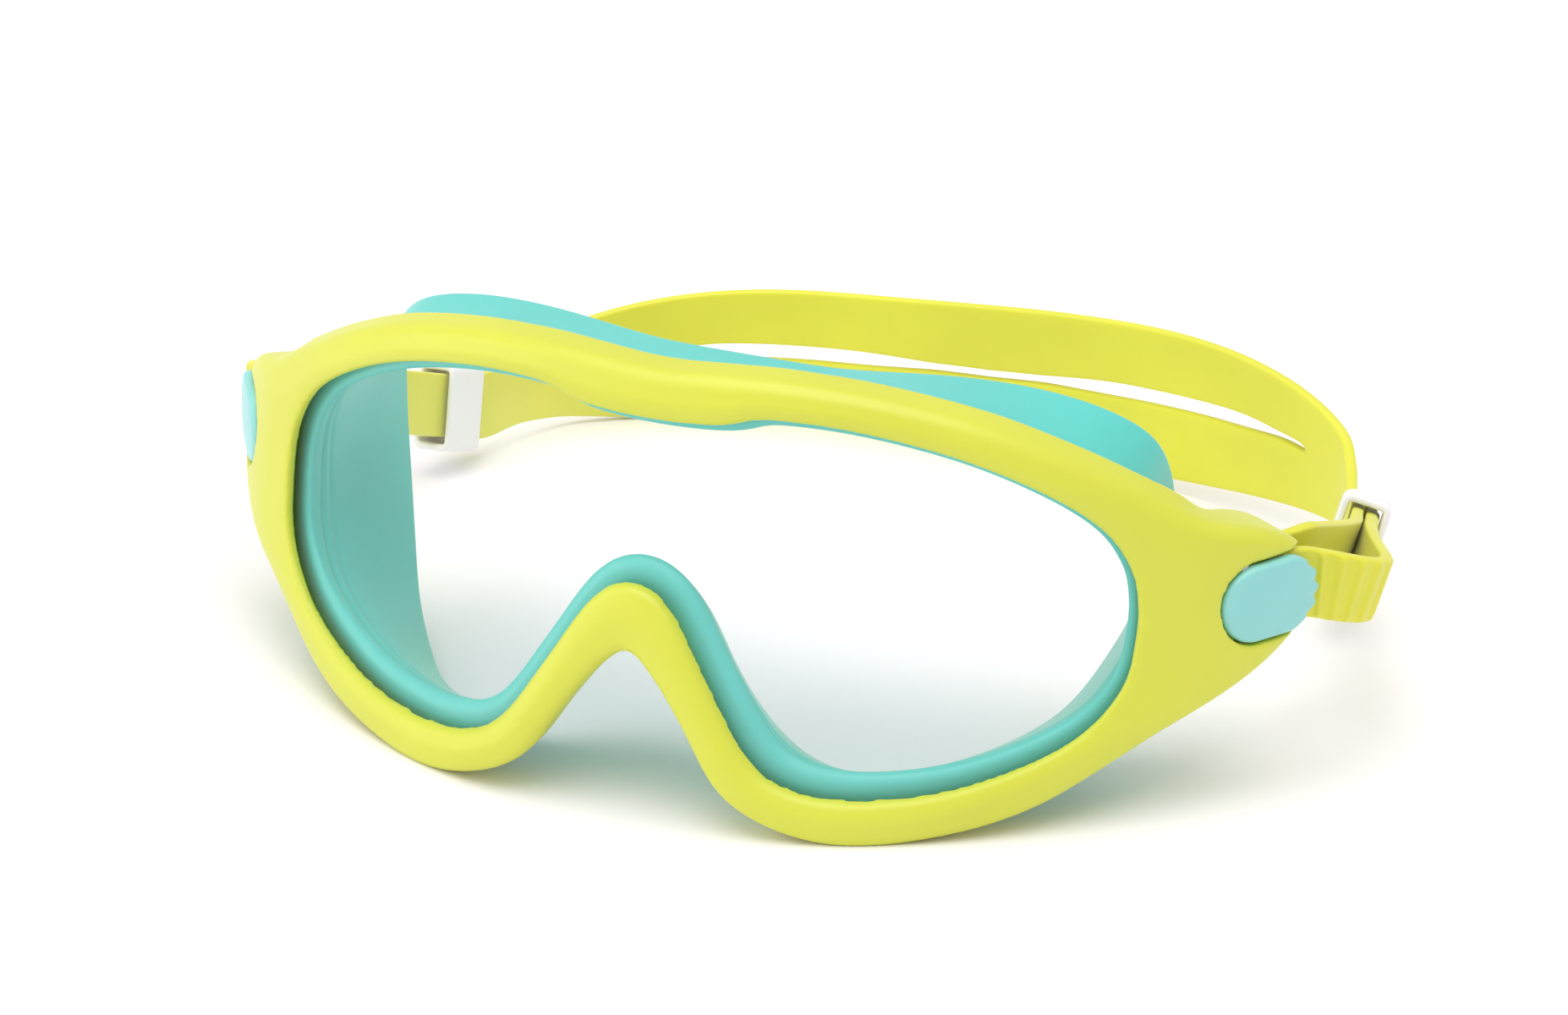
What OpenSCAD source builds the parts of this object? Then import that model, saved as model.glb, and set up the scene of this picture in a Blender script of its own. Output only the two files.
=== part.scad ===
// Swim goggles with a one-piece window, soft face seal and split strap.
// Millimetres. X to the wearer's left, front faces -Y, Z up, resting on Z = 0.

/* [Window and frame] */
// Half outline of the window opening, front view [x, z]
window_half = [[0, 53.2], [10.2, 53.6], [16, 55], [27.2, 54.1], [39.1, 50.9], [49, 46.1], [56.3, 40.6],
               [60, 34.8], [61.2, 29.5], [61.2, 24.5], [60.3, 18.8], [56.3, 13], [49, 9], [39.5, 6.4],
               [27.6, 6], [18.8, 9.2], [11.9, 19], [5.5, 29], [0, 31.7]];
// Half outline of the outer edge of the frame with its wing, front view [x, z]
frame_half = [[0, 59.5], [10, 59.9], [17, 59.9], [28.5, 58.6], [41.5, 55], [52.5, 49.6], [61, 44.1],
              [68, 39.6], [76, 35.4], [79.8, 27.5], [75.6, 18.2], [63.2, 10.9], [52.2, 3.7], [41, 0.5],
              [28, -0.25], [15.2, 4.6], [8.5, 13.7], [4.2, 19.4], [0, 22.7]];
// Backward lean of the front face, mm per mm of height
face_lean = 0.2252; // [0:0.005:0.4]
// Backward sweep of the front face at the 50 mm half width
face_bow = 16.43; // [5:0.1:22]
// Extra backward curl of the wings, per mm squared
wing_curl = 0.036; // [0:0.002:0.06]
// Depth of the frame rim behind its front face
rim_depth = 7.2; // [7:0.1:12]
// Extra depth of the wings
wing_extra = 4; // [0:0.5:5]
// Thickness of the front flange of the frame
flange_t = 2.1; // [1.5:0.1:3]
// Distance from the window edge to the inner step of the frame
step_w = 3.4; // [3:0.1:5]

/* [Lens and retainer] */
// Lens thickness
lens_t = 1.6; // [1.2:0.1:2.5]
// Lens overlap behind the window edge
lens_over = 2.6; // [2:0.1:4]
// Retainer ring thickness
retainer_t = 1.2; // [1:0.1:2]

/* [Skirt] */
// Half outline of the rear lip of the skirt [x, y, z], y measured from the face reference
lip_half = [[0, 37, 49.3], [10, 37.8, 49], [17, 38.5, 49.2], [29, 40.5, 49.7], [40, 42.5, 49], [49, 44.2, 46.8],
            [54.6, 46.8, 42.6], [56.4, 48.8, 36], [56.4, 48.6, 28.5], [54.6, 45.6, 21], [51.6, 40.4, 13.2],
            [47.8, 33.8, 7.2], [41.6, 24.3, 4.4], [35, 15.2, 3.9], [28.5, 11.6, 3.7], [20, 9.6, 6.6],
            [11.2, 11.3, 13.8], [5.6, 11.2, 24.3], [0, 9, 30.1]];
// Thickness of the clamped flange of the skirt
skirt_flange_t = 1.3; // [1:0.1:2]
// Wall thickness of the skirt behind the flange
skirt_t = 1.7; // [1.2:0.1:2.5]
// Wall thickness of the skirt at the lip
lip_t = 1.1; // [0.8:0.1:2]

/* [Temple buttons] */
// Length of the release button
button_len = 16; // [13:0.2:18]
// Height of the release button
button_h = 10.8; // [10:0.2:12]
// Radius of the domed outer face of the button
dome_r = 24; // [15:1:40]
// Radius of the button hinge pin
pin_r = 0.8; // [0.6:0.05:1.2]
// Radius of the strap post
post_r = 1.1; // [0.8:0.05:1.4]

/* [Strap] */
// Strap thickness
strap_t = 1.6; // [1.2:0.1:2.2]
// Height of the strap at the temples
strap_h = 10; // [8:0.5:11]
// Full height of both bands behind the head
rear_h = 22.9; // [20:0.1:28]
// Gap between the upper and lower bands
slit_gap = 2.2; // [1:0.1:4]
// Sideways roll of the strap as it lies, up on the wearer's left
strap_roll = 2.4; // [0:0.1:3]
// Height of the grip ribs on the strap tail
rib_h = 0.45; // [0.2:0.05:0.6]
// Keeper length along the strap
keeper_len = 7; // [5:0.5:10]
// Keeper wall thickness
keeper_wall = 1.1; // [0.8:0.1:1.6]

/* [Hidden] */
$fn = 48;

lime = [0.83, 0.85, 0.25];
lime_strap = [0.87, 0.88, 0.3];
aqua = [0.53, 0.8, 0.78];
white = [0.94, 0.94, 0.94];
clear = [0.9, 0.97, 1, 0.35];
steel = [0.75, 0.77, 0.8];

gap = 0.25;
land_w = 200;
depth_mid = 61.4;
face_zc = 37.3;
bow_ref = 50;
flare = 0.00001088;
side_index = 9;
seg = len(window_half) * 2 - 2;
per_seg = 4;
tilt = 58.5;
button_at = [75, 27.2];
pin_at = [-4, 1.6];
post_at = [1.5, 5.4];
notch_half = button_h / 2 + 0.45;
notch_front = -8.5;
pin_z = [-7.9, 8.1];
post_z = [-7.2, 7.4];
loop_z0 = 27.1;
loop_knots = [46, 57, 94];
near_slope = -0.46;
loop_slope = -0.325;
loop_ease = 2;
roll_ref = 30;
roll_from = 46;
roll_to = 84;
roll_late = 16;
inner_knot = 53;
inner_join = 78;
inner_slope = (near_slope * (loop_knots[1] - loop_knots[0]) + loop_slope * (inner_join - loop_knots[1]))
    / (inner_join - inner_knot);
lean_left = 16;
lean_right = 9;
lean_in = [46, 54];
lean_out = [93.2, 100];
wing_from = 60;
wing_to = 76;
wing_dir = [0.85, 0.55];
curl_from = 66;
lug_half = 4;
keeper_y = 89.6;
line_from = [71.8, 78];
line_dir = [-0.297, 0.955];
layer_step = strap_t + 0.3;
hinge_y = 101;
loop_end_y = 95.3;

function face_y(x, z) = face_lean * (z - face_zc) + face_bow * pow(x / bow_ref, 2)
    - flare * x * x * (z - face_zc) + wing_curl * pow(max(0, abs(x) - curl_from), 2);
function negx(p) = [for (k = [0 : len(p) - 1]) k == 0 ? -p[k] : p[k]];
function whole(h) = concat(h, [for (i = [len(h) - 2 : -1 : 1]) negx(h[i])]);
function wrap_at(p, i) = p[((i % len(p)) + len(p)) % len(p)];
function blend4(a, b, c, d, f) = 0.5 * (2 * b + (c - a) * f + (2 * a - 5 * b + 4 * c - d) * f * f
    + (3 * b - a - 3 * c + d) * f * f * f);
function loop_pt(p, t) = let (i = floor(t), f = t - i)
    blend4(wrap_at(p, i - 1), wrap_at(p, i), wrap_at(p, i + 1), wrap_at(p, i + 2), f);
function end_at(p, i) = i < 0 ? 2 * p[0] - p[1]
    : i > len(p) - 1 ? 2 * p[len(p) - 1] - p[len(p) - 2] : p[i];
function path_pt(p, t) = let (i = min(floor(t), len(p) - 2), f = t - i)
    blend4(end_at(p, i - 1), end_at(p, i), end_at(p, i + 1), end_at(p, i + 2), f);
function unit(v) = v / norm(v);
function smooth(a, b, v) = let (u = min(1, max(0, (v - a) / (b - a)))) u * u * (3 - 2 * u);
function lerp(a, b, f) = a + (b - a) * f;

window = whole(window_half);
outer = whole(frame_half);
lip = whole(lip_half);

function edge_dir(t) = let (d = loop_pt(window, t + 0.02) - loop_pt(window, t - 0.02)) unit([-d[1], d[0]]);
function off(t, s) = loop_pt(window, t) + s * edge_dir(t);
function depth_dir(x) = let (w = smooth(wing_from, wing_to, abs(x)))
    unit([-sign(x) * wing_dir[0] * w, lerp(1, wing_dir[1], w), 0]);
function on_face(p, d) = [p[0], face_y(p[0], p[1]), p[1]] + d * depth_dir(p[0]);
function width_dir(t) = unit(loop_pt(outer, t) - loop_pt(window, t));
function band_w(t) = norm(loop_pt(outer, t) - loop_pt(window, t));
function back_d(t) = rim_depth + wing_extra * smooth(9, 17, band_w(t));

// Closed ring of sections, every section a closed loop of points
module ring_solid(rings) {
    n = len(rings);
    m = len(rings[0]);
    pts = [for (r = rings) each r];
    faces = [for (i = [0 : n - 1]) for (j = [0 : m - 1])
        let (a = i * m + j, b = i * m + (j + 1) % m)
        let (c = ((i + 1) % n) * m + (j + 1) % m, d = ((i + 1) % n) * m + j)
        each [[a, b, c], [a, c, d]]];
    polyhedron(pts, faces, convexity = 8);
}

// Open run of sections with flat ends
module run_solid(rings) {
    n = len(rings);
    m = len(rings[0]);
    pts = [for (r = rings) each r];
    faces = [for (i = [0 : n - 2]) for (j = [0 : m - 1])
        let (a = i * m + j, b = i * m + (j + 1) % m)
        let (c = (i + 1) * m + (j + 1) % m, d = (i + 1) * m + j)
        each [[a, b, c], [a, c, d]]];
    start = [for (j = [1 : m - 2]) [0, j + 1, j]];
    end = [for (j = [1 : m - 2]) [(n - 1) * m, (n - 1) * m + j, (n - 1) * m + j + 1]];
    polyhedron(pts, concat(faces, start, end), convexity = 8);
}

module both_sides() {
    children();
    mirror([1, 0, 0]) children();
}

module seat() {
    translate([0, -depth_mid, 0]) children();
}

// Local axes of the right temple: X runs back along the wing, Y points inward
module temple() {
    translate([button_at[0], face_y(button_at[0], button_at[1]), button_at[1]])
        rotate([0, 0, tilt]) children();
}

// Front frame: moulded ring with wings, fork notches and bores
function rim_section(t) = let (q = loop_pt(outer, t), k = width_dir(t), b = back_d(t))
    [on_face(off(t, 0), flange_t), on_face(off(t, 0), 0.9), on_face(off(t, 0.6), 0.2),
     on_face(lerp(off(t, 0.6), q, 0.45), -0.3), on_face(q - 2.2 * k, 0.1), on_face(q - 0.7 * k, 0.9),
     on_face(q, 2.4), on_face(q, b - 1.1), on_face(q - 0.6 * k, b),
     on_face(off(t, step_w), b), on_face(off(t, step_w), flange_t)];

module notch() {
    translate([notch_front + notch_half, 0, 0]) rotate([90, 0, 0])
        cylinder(h = 60, r = notch_half, center = true);
    translate([notch_front + notch_half, -30, -notch_half]) cube([40, 60, 2 * notch_half]);
}

module front_frame() color(lime) seat() difference() {
    ring_solid([for (i = [0 : seg * per_seg - 1]) rim_section(i / per_seg)]);
    both_sides() temple() {
        notch();
        translate([pin_at[0], pin_at[1], pin_z[0]]) cylinder(h = pin_z[1] - pin_z[0], r = pin_r);
        translate([post_at[0], post_at[1], post_z[0]]) cylinder(h = post_z[1] - post_z[0], r = post_r);
    }
    translate([-land_w / 2, -land_w / 2, -land_w]) cube([land_w, land_w, land_w]);
}

// Lens: curved clear sheet behind the front flange
function lens_col(t, d, rows) = [for (j = [0 : rows])
    let (a = off(t, lens_over), b = off(2 * side_index - t, lens_over)) on_face(lerp(a, b, j / rows), d)];

module lens() color(clear) seat() {
    rows = 8;
    cols = 54;
    d0 = flange_t + gap;
    rings = [for (i = [0 : cols]) let (t = lerp(-side_index + 0.08, side_index - 0.08, i / cols))
        let (f = lens_col(t, d0, rows), b = lens_col(t, d0 + lens_t, rows))
        concat(f, [for (j = [rows : -1 : 0]) b[j]])];
    m = 2 * rows + 2;
    pts = [for (r = rings) each r];
    faces = [for (i = [0 : cols - 1]) for (j = [0 : m - 1])
        let (a = i * m + j, b = i * m + (j + 1) % m, c = (i + 1) * m + (j + 1) % m, d = (i + 1) * m + j)
        each [[a, b, c], [a, c, d]]];
    caps = [for (e = [0, cols]) for (j = [0 : rows - 1])
        let (a = e * m + j, b = e * m + j + 1, c = e * m + m - 2 - j, d = e * m + m - 1 - j)
        each e == 0 ? [[a, c, b], [a, d, c]] : [[a, b, c], [a, c, d]]];
    polyhedron(pts, concat(faces, caps), convexity = 6);
}

// Skirt: flange behind the lens, wall running back to the face lip
skirt_d = flange_t + lens_t + 2 * gap;
skirt_rows = 7;
wall_bulge = 0.4;
function wall_mid(t, v) = let (n = edge_dir(t), e = loop_pt(lip, t))
    let (s = on_face(off(t, -1.05), skirt_d + skirt_flange_t + 0.1))
    lerp(s, e, v) - [n[0], 0, n[1]] * (wall_bulge * 4 * v * (1 - v));
function wall_t(v) = lerp(skirt_t, lip_t, v) / 2;
function wall_pt(t, v, s) = let (n = edge_dir(t)) wall_mid(t, v) + [n[0], 0, n[1]] * wall_t(v) * s;
function skirt_section(t) = concat(
    [on_face(off(t, 3), skirt_d + skirt_flange_t), on_face(off(t, 3), skirt_d), on_face(off(t, -0.6), skirt_d),
     on_face(off(t, -1.7), skirt_d + 0.4)],
    [for (j = [0 : skirt_rows]) wall_pt(t, j / skirt_rows, -1)],
    [wall_mid(t, 1) + [0, lip_t / 2, 0]],
    [for (j = [skirt_rows : -1 : 0]) wall_pt(t, j / skirt_rows, 1)]);

module skirt() color(aqua) seat()
    ring_solid([for (i = [0 : seg * 3 - 1]) skirt_section(i / 3)]);

// Retainer ring: clamps lens and skirt flange into the frame
retainer_d = skirt_d + skirt_flange_t + gap;
function retainer_section(t) = [on_face(off(t, 0.8), retainer_d + retainer_t), on_face(off(t, 0.8), retainer_d),
    on_face(off(t, 3.1), retainer_d), on_face(off(t, 3.1), retainer_d + retainer_t)];

module lens_retainer() color(white) seat()
    ring_solid([for (i = [0 : seg * 3 - 1]) retainer_section(i / 3)]);

// Release button: domed oval lever on a hinge lug, with a pawl over the strap
module button_plan() {
    r = button_h / 2;
    reach = button_len / 2 - r;
    for (s = [-1, 1]) translate([s * reach, 0]) circle(r = r);
    translate([-reach, -r]) square([2 * reach, 2 * r]);
}

module release_button() color(aqua) difference() {
    union() {
        intersection() {
            translate([0, 1.65, 0]) rotate([90, 0, 0]) linear_extrude(height = 4.2) button_plan();
            translate([0, dome_r - 1.6, 0]) sphere(r = dome_r, $fn = 96);
        }
        translate([pin_at[0], pin_at[1], -lug_half]) cylinder(h = 2 * lug_half, r = 1.9);
    }
    translate([pin_at[0], pin_at[1], -button_h]) cylinder(h = 2 * button_h, r = pin_r + 0.06);
}

module button_pin() color(steel)
    translate([pin_at[0], pin_at[1], pin_z[0] + 0.05]) cylinder(h = pin_z[1] - pin_z[0] - 0.1, r = pin_r - 0.01);

module strap_post() color(steel)
    translate([post_at[0], post_at[1], post_z[0] + 0.05]) cylinder(h = post_z[1] - post_z[0] - 0.1, r = post_r - 0.01);

// Strap paths in plan, right side
base = [button_at[0], face_y(button_at[0], button_at[1])];
function plan(p) = base + [p[0] * cos(tilt) - p[1] * sin(tilt), p[0] * sin(tilt) + p[1] * cos(tilt)];
wrap_r = post_r + 0.2 + strap_t / 2;
function on_line(y, s) = line_from + line_dir * ((y - line_from[1]) / line_dir[1]) + s * [line_dir[1], -line_dir[0]];
wrap_steps = 10;
wrap_path = [for (i = [0 : wrap_steps]) let (a = 100 + 165 * i / wrap_steps)
    plan(post_at + wrap_r * [cos(a), sin(a)])];
inner_path = [on_line(loop_end_y, 0), on_line(90, 0), on_line(84, 0), on_line(78, 0), [73.3, 69], [73.6, 60], [73.2, 52]];
outer_path = [plan([7.8, 3.1]), [80.4, 51.2], [82.4, 55.4], [82, 59.8], [79.4, 65.4], [76.5, 71.4], on_line(78, layer_step),
    on_line(84, layer_step), on_line(90, layer_step), on_line(loop_end_y, layer_step)];
loop_path = concat(inner_path, wrap_path, outer_path);
function eased(v) = v < -loop_ease ? 0 : v > loop_ease ? v : pow(v + loop_ease, 2) / (4 * loop_ease);
function rolled(x) = strap_roll * (x / roll_ref) / sqrt(1 + pow(x / roll_ref, 2));
function loop_height(p) = loop_z0 + near_slope * eased(p[1] - loop_knots[0])
    + (loop_slope - near_slope) * eased(p[1] - loop_knots[1]) - loop_slope * eased(p[1] - loop_knots[2]);
function inner_height(p) = loop_z0 + inner_slope * (eased(p[1] - inner_knot) - eased(p[1] - inner_join))
    + loop_slope * (eased(p[1] - inner_join) - eased(p[1] - loop_knots[2]));
function roll_at(p, side) = side * rolled(p[0])
    * (side > 0 ? smooth(roll_from, roll_to, p[1]) : smooth(roll_from + roll_late, roll_to + roll_late, p[1]));
function lean(p, side) = (1 - smooth(lean_out[0], lean_out[1], p[1]))
    * (side > 0 ? lean_left * smooth(lean_in[0], lean_in[1], p[1]) : lean_right * smooth(lean_in[1], inner_join, p[1]));
function lying(p, side, t) = let (w = smooth(len(inner_path), len(inner_path) + wrap_steps, t))
    roll_at(p, side) + lerp(inner_height(p), loop_height(p), w)
    + lerp(1, -1, w) * layer_step / 2 * sin(lean(p, side));

function strap_section(p, d, h, z, out, inn, a = 0) = let (n = [d[1], -d[0]], e = 0.35)
    [for (c = [[inn, -h / 2 + e], [inn + e, -h / 2], [out - e, -h / 2], [out, -h / 2 + e],
               [out, h / 2 - e], [out - e, h / 2], [inn + e, h / 2], [inn, h / 2 - e]])
        [p[0] + n[0] * c[0] * cos(a) + c[1] * sin(a), p[1] + n[1] * c[0],
         z + c[1] * cos(a) - n[0] * c[0] * sin(a)]];

loop_count = 126;
loop_span = len(loop_path) - 1;
rib_from = len(inner_path) + wrap_steps + 0.6;
function rib(t) = t < rib_from ? 0 : rib_h * smooth(0.1, 0.5, sin(t * 720));
module strap_loop(side) color(lime_strap)
    run_solid([for (i = [0 : loop_count]) let (t = loop_span * i / loop_count)
        let (p = path_pt(loop_path, t), d = unit(path_pt(loop_path, min(t + 0.03, loop_span))
            - path_pt(loop_path, max(t - 0.03, 0))))
        strap_section(p, d, strap_h, lying(p, side, t), strap_t / 2 + rib(t), -strap_t / 2, lean(p, side))]);

// Keeper: moulded loop around both strap layers
keeper_mid = on_line(keeper_y, layer_step / 2);
keeper_yaw = atan2(line_dir[1], line_dir[0]) - 90;
keeper_pitch = atan(loop_slope * line_dir[1]);
keeper_in_w = layer_step + strap_t + 2 * rib_h + 0.5;
keeper_in_h = strap_h + 0.6;
keeper_r = 1.4;

module keeper_plan(w, h, r) {
    for (a = [-1, 1]) for (b = [-1, 1]) translate([a * (w / 2 - r), b * (h / 2 - r)]) circle(r = r);
    square([w - 2 * r, h], center = true);
    square([w, h - 2 * r], center = true);
}

module keeper(side) color(white)
    translate([keeper_mid[0], keeper_mid[1], loop_height(keeper_mid) + roll_at(keeper_mid, side)])
        rotate([0, 0, keeper_yaw])
        rotate([90 + keeper_pitch, 0, 0]) rotate([0, 0, -lean(keeper_mid, side)]) translate([0, 0, -keeper_len / 2])
            linear_extrude(height = keeper_len) difference() {
                keeper_plan(keeper_in_w + 2 * keeper_wall, keeper_in_h + 2 * keeper_wall, keeper_r);
                keeper_plan(keeper_in_w, keeper_in_h, 0.4);
            }

// Strap band: two bands behind the head joined at the temples
hinge_at = on_line(hinge_y, 0);
band_z = loop_height(hinge_at);
rear_z = rear_h / 2;
slit_from = 2.7;
slit_rise = 0.8;
band_half = [hinge_at, on_line(hinge_y + 4.5, -0.3), [59.5, 111.3], [51, 117.6], [39, 122.6], [25, 125.6], [12, 126.8], [0, 127.1]];
band_path = concat(band_half, [for (i = [len(band_half) - 2 : -1 : 0]) negx(band_half[i])]);
band_span = len(band_path) - 1;
band_count = 84;
function band_mid(t) = let (u = min(t, band_span - t))
    lerp(band_z, rear_z, smooth(0, 4, u)) + rolled(path_pt(band_path, t)[0]);
function band_full(t) = let (u = min(t, band_span - t)) lerp(strap_h, rear_h, smooth(0, 5, u));
function band_low(t) = max(0, band_mid(t) - band_full(t) / 2);
function band_top(t) = band_mid(t) + band_full(t) / 2;
function band_mid_z(t) = (band_low(t) + band_top(t)) / 2;
function band_h(t) = band_top(t) - band_low(t);
function slit_z(t) = band_mid_z(t) + slit_rise;
function path_dir(p, t, n) = unit(path_pt(p, min(t + 0.03, n)) - path_pt(p, max(t - 0.03, 0)));
function slit_h(t) = let (u = min(t, band_span - t))
    max(0.25, slit_gap * smooth(slit_from, 4, u) * lerp(1, 0.25, smooth(5.2, 7, u)));

module hinge_end(side) {
    translate([hinge_at[0], hinge_at[1], band_z + side * rolled(hinge_at[0])]) rotate([0, 0, keeper_yaw]) rotate([0, 90, 0])
        cylinder(h = strap_t, r = strap_h / 2, center = true);
}

module strap_band() color(lime_strap) seat() {
    difference() {
        run_solid([for (i = [0 : band_count]) let (t = band_span * i / band_count)
            strap_section(path_pt(band_path, t), path_dir(band_path, t, band_span), band_h(t), band_mid_z(t),
                strap_t / 2, -strap_t / 2)]);
        run_solid([for (i = [0 : 60]) let (t = lerp(slit_from, band_span - slit_from, i / 60))
            let (p = path_pt(band_path, t), d = path_dir(band_path, t, band_span), n = [d[1], -d[0]])
            [for (c = [[-3, -0.5], [3, -0.5], [3, 0.5], [-3, 0.5]])
                [p[0] + n[0] * c[0], p[1] + n[1] * c[0], slit_z(t) + slit_h(t) * c[1]]]]);
    }
    hinge_end(1);
    mirror([1, 0, 0]) hinge_end(-1);
}

module right_side() seat() temple() children();
module left_side() seat() mirror([1, 0, 0]) temple() children();

front_frame();
lens();
skirt();
lens_retainer();
right_side() release_button();  // release_button_left
left_side() release_button();  // release_button_right
right_side() button_pin();  // button_pin_left
left_side() button_pin();  // button_pin_right
right_side() strap_post();  // strap_post_left
left_side() strap_post();  // strap_post_right
seat() strap_loop(1);  // strap_loop_left
seat() mirror([1, 0, 0]) strap_loop(-1);  // strap_loop_right
seat() keeper(1);  // keeper_left
seat() mirror([1, 0, 0]) keeper(-1);  // keeper_right
strap_band();
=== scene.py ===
import math

import bmesh
import bpy
import numpy as np
from mathutils import Matrix, Vector


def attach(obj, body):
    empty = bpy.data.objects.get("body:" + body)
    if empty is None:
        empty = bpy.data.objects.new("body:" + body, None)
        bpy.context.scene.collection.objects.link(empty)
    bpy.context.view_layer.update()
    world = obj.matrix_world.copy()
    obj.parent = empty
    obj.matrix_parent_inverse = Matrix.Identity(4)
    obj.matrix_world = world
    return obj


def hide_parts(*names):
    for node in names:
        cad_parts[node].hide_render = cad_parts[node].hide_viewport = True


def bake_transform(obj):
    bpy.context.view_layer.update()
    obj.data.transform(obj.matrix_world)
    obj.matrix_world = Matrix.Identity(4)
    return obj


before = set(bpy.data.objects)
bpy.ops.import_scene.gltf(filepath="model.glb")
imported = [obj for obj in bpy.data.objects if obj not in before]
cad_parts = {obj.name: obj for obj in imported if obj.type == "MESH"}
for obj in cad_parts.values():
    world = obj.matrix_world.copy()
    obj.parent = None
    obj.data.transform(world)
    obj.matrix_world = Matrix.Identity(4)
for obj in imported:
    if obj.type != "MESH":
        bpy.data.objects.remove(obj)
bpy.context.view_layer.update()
MM = 0.001
DEPTH_MID = 61.4
SIDES = ((1, "left"), (-1, "right"))

# ---------------------------------------------------------------- shared shape, millimetres
WINDOW_HALF = [(0, 53.2), (10.2, 53.6), (16, 55), (27.2, 54.1), (39.1, 50.9), (49, 46.1), (56.3, 40.6),
               (60, 34.8), (61.2, 29.5), (61.2, 24.5), (60.3, 18.8), (56.3, 13), (49, 9), (39.5, 6.4),
               (27.6, 6), (18.8, 9.2), (11.9, 19), (5.5, 29), (0, 31.7)]
FRAME_HALF = [(0, 59.5), (10, 59.9), (17, 59.9), (28.5, 58.6), (41.5, 55), (52.5, 49.6), (61, 44.1),
              (68, 39.6), (76, 35.4), (79.8, 27.5), (75.6, 18.2), (63.2, 10.9), (52.2, 3.7), (41, 0.5),
              (28, -0.25), (15.2, 4.6), (8.5, 13.7), (4.2, 19.4), (0, 22.7)]
LIP_HALF = [(0, 37, 49.3), (10, 37.8, 49), (17, 38.5, 49.2), (29, 40.5, 49.7), (40, 42.5, 49),
            (49, 44.2, 46.8), (54.6, 46.8, 42.6), (56.4, 48.8, 36), (56.4, 48.6, 28.5), (54.6, 45.6, 21),
            (51.6, 40.4, 13.2), (47.8, 33.8, 7.2), (41.6, 24.3, 4.4), (35, 15.2, 3.9), (28.5, 11.6, 3.7),
            (20, 9.6, 6.6), (11.2, 11.3, 13.8), (5.6, 11.2, 24.3), (0, 9, 30.1)]
SIDE_INDEX = 9  # point of an outline half where the temple lies
PER_SEG = 16  # stations between two outline points
FINE_SIGMA = 3.0
FIT_GAP = 0.25

# curved front face: leaning back, bowed round the face, wings curled further
FACE_LEAN, FACE_BOW, FACE_FLARE, FACE_ZC, BOW_REF = 0.2252, 16.43, 0.00001088, 37.3, 50.0
WING_CURL, CURL_FROM = 0.036, 66.0
WING_FROM, WING_TO, WING_IN, WING_BACK = 60.0, 76.0, 0.85, 0.55

# frame section and the pieces stacked behind it
FLANGE_T, RIM_DEPTH, WING_EXTRA, STEP_W = 2.1, 7.2, 4.0, 3.4
LENS_D, LENS_T, LENS_OVER = FLANGE_T + FIT_GAP, 1.6, 2.6
SKIRT_D, FLANGE_SKIRT = LENS_D + LENS_T + FIT_GAP, 1.3
SKIRT_T, LIP_T, SKIRT_BULGE = 1.7, 1.15, 0.4
RETAINER_D, RETAINER_T = SKIRT_D + FLANGE_SKIRT + FIT_GAP, 1.2

# temples: button, pin and strap post, placed as (back, inward)
TILT = math.radians(58.5)
BUTTON_X, BUTTON_Z = 75.0, 27.2
BUTTON_LEN, BUTTON_H = 16.0, 10.8
PIN_AT, PIN_R, PIN_Z = (-4.0, 1.6), 0.8, (-7.2, 7.2)
POST_AT, POST_R, POST_Z = (1.5, 5.4), 1.1, (-6.8, 6.8)

# strap and keepers
STRAP_T, STRAP_H, REAR_H, SLIT_GAP = 1.6, 10.0, 22.9, 2.2
RIB_H, RIB_PITCH = 0.45, 2.7
LAYER_STEP = STRAP_T + 0.3
LINE_FROM = np.array([71.8, 78.0])
LINE_DIR = np.array([-0.297, 0.955])
LOOP_Z0, LOOP_KNOTS, NEAR_SLOPE, LOOP_SLOPE, LOOP_EASE = 27.1, (46.0, 57.0, 94.0), -0.46, -0.325, 2.0
LOOP_END_Y, HINGE_Y, KEEPER_Y = 95.3, 101.0, 89.6
INNER_KNOT, INNER_JOIN = 53.0, 78.0
STRAP_ROLL, ROLL_REF, ROLL_FROM, ROLL_TO, ROLL_LATE = 2.4, 30.0, 46.0, 84.0, 16.0
LEAN_LEFT, LEAN_RIGHT, LEAN_IN, LEAN_OUT = 16.0, 9.0, (46.0, 54.0), (93.2, 100.0)
KEEPER_LEN, KEEPER_WALL = 7.0, 1.1


def unit(v):
    return v / np.linalg.norm(v, axis=-1, keepdims=True)


def smooth(a, b, v):
    """0 at a, 1 at b, with eased ends."""
    u = np.clip((np.asarray(v, float) - a) / (b - a), 0, 1)
    return u * u * (3 - 2 * u)


def face_y(x, z):
    """Depth of the front face at (x, z)."""
    curl = WING_CURL * np.maximum(0, np.abs(x) - CURL_FROM) ** 2
    height = z - FACE_ZC
    return FACE_LEAN * height + FACE_BOW * (x / BOW_REF) ** 2 - FACE_FLARE * x * x * height + curl


def depth_dir(x):
    """Direction of the wall thickness: straight back, turned inward on the wings."""
    w = smooth(WING_FROM, WING_TO, np.abs(x))
    return unit(np.stack([-np.sign(x) * WING_IN * w, 1 - (1 - WING_BACK) * w, np.zeros_like(w)], -1))


def on_face(p, d):
    """Points of the curved front face, moved back by d."""
    x, z = p[..., 0], p[..., 1]
    front = np.stack([x, face_y(x, z), z], -1)
    return front + np.asarray(d)[..., None] * depth_dir(x)


def whole(half):
    """Closed outline from its +X half."""
    half = np.array(half, float)
    other = half[-2:0:-1].copy()
    other[:, 0] *= -1
    return np.concatenate([half, other])


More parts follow.
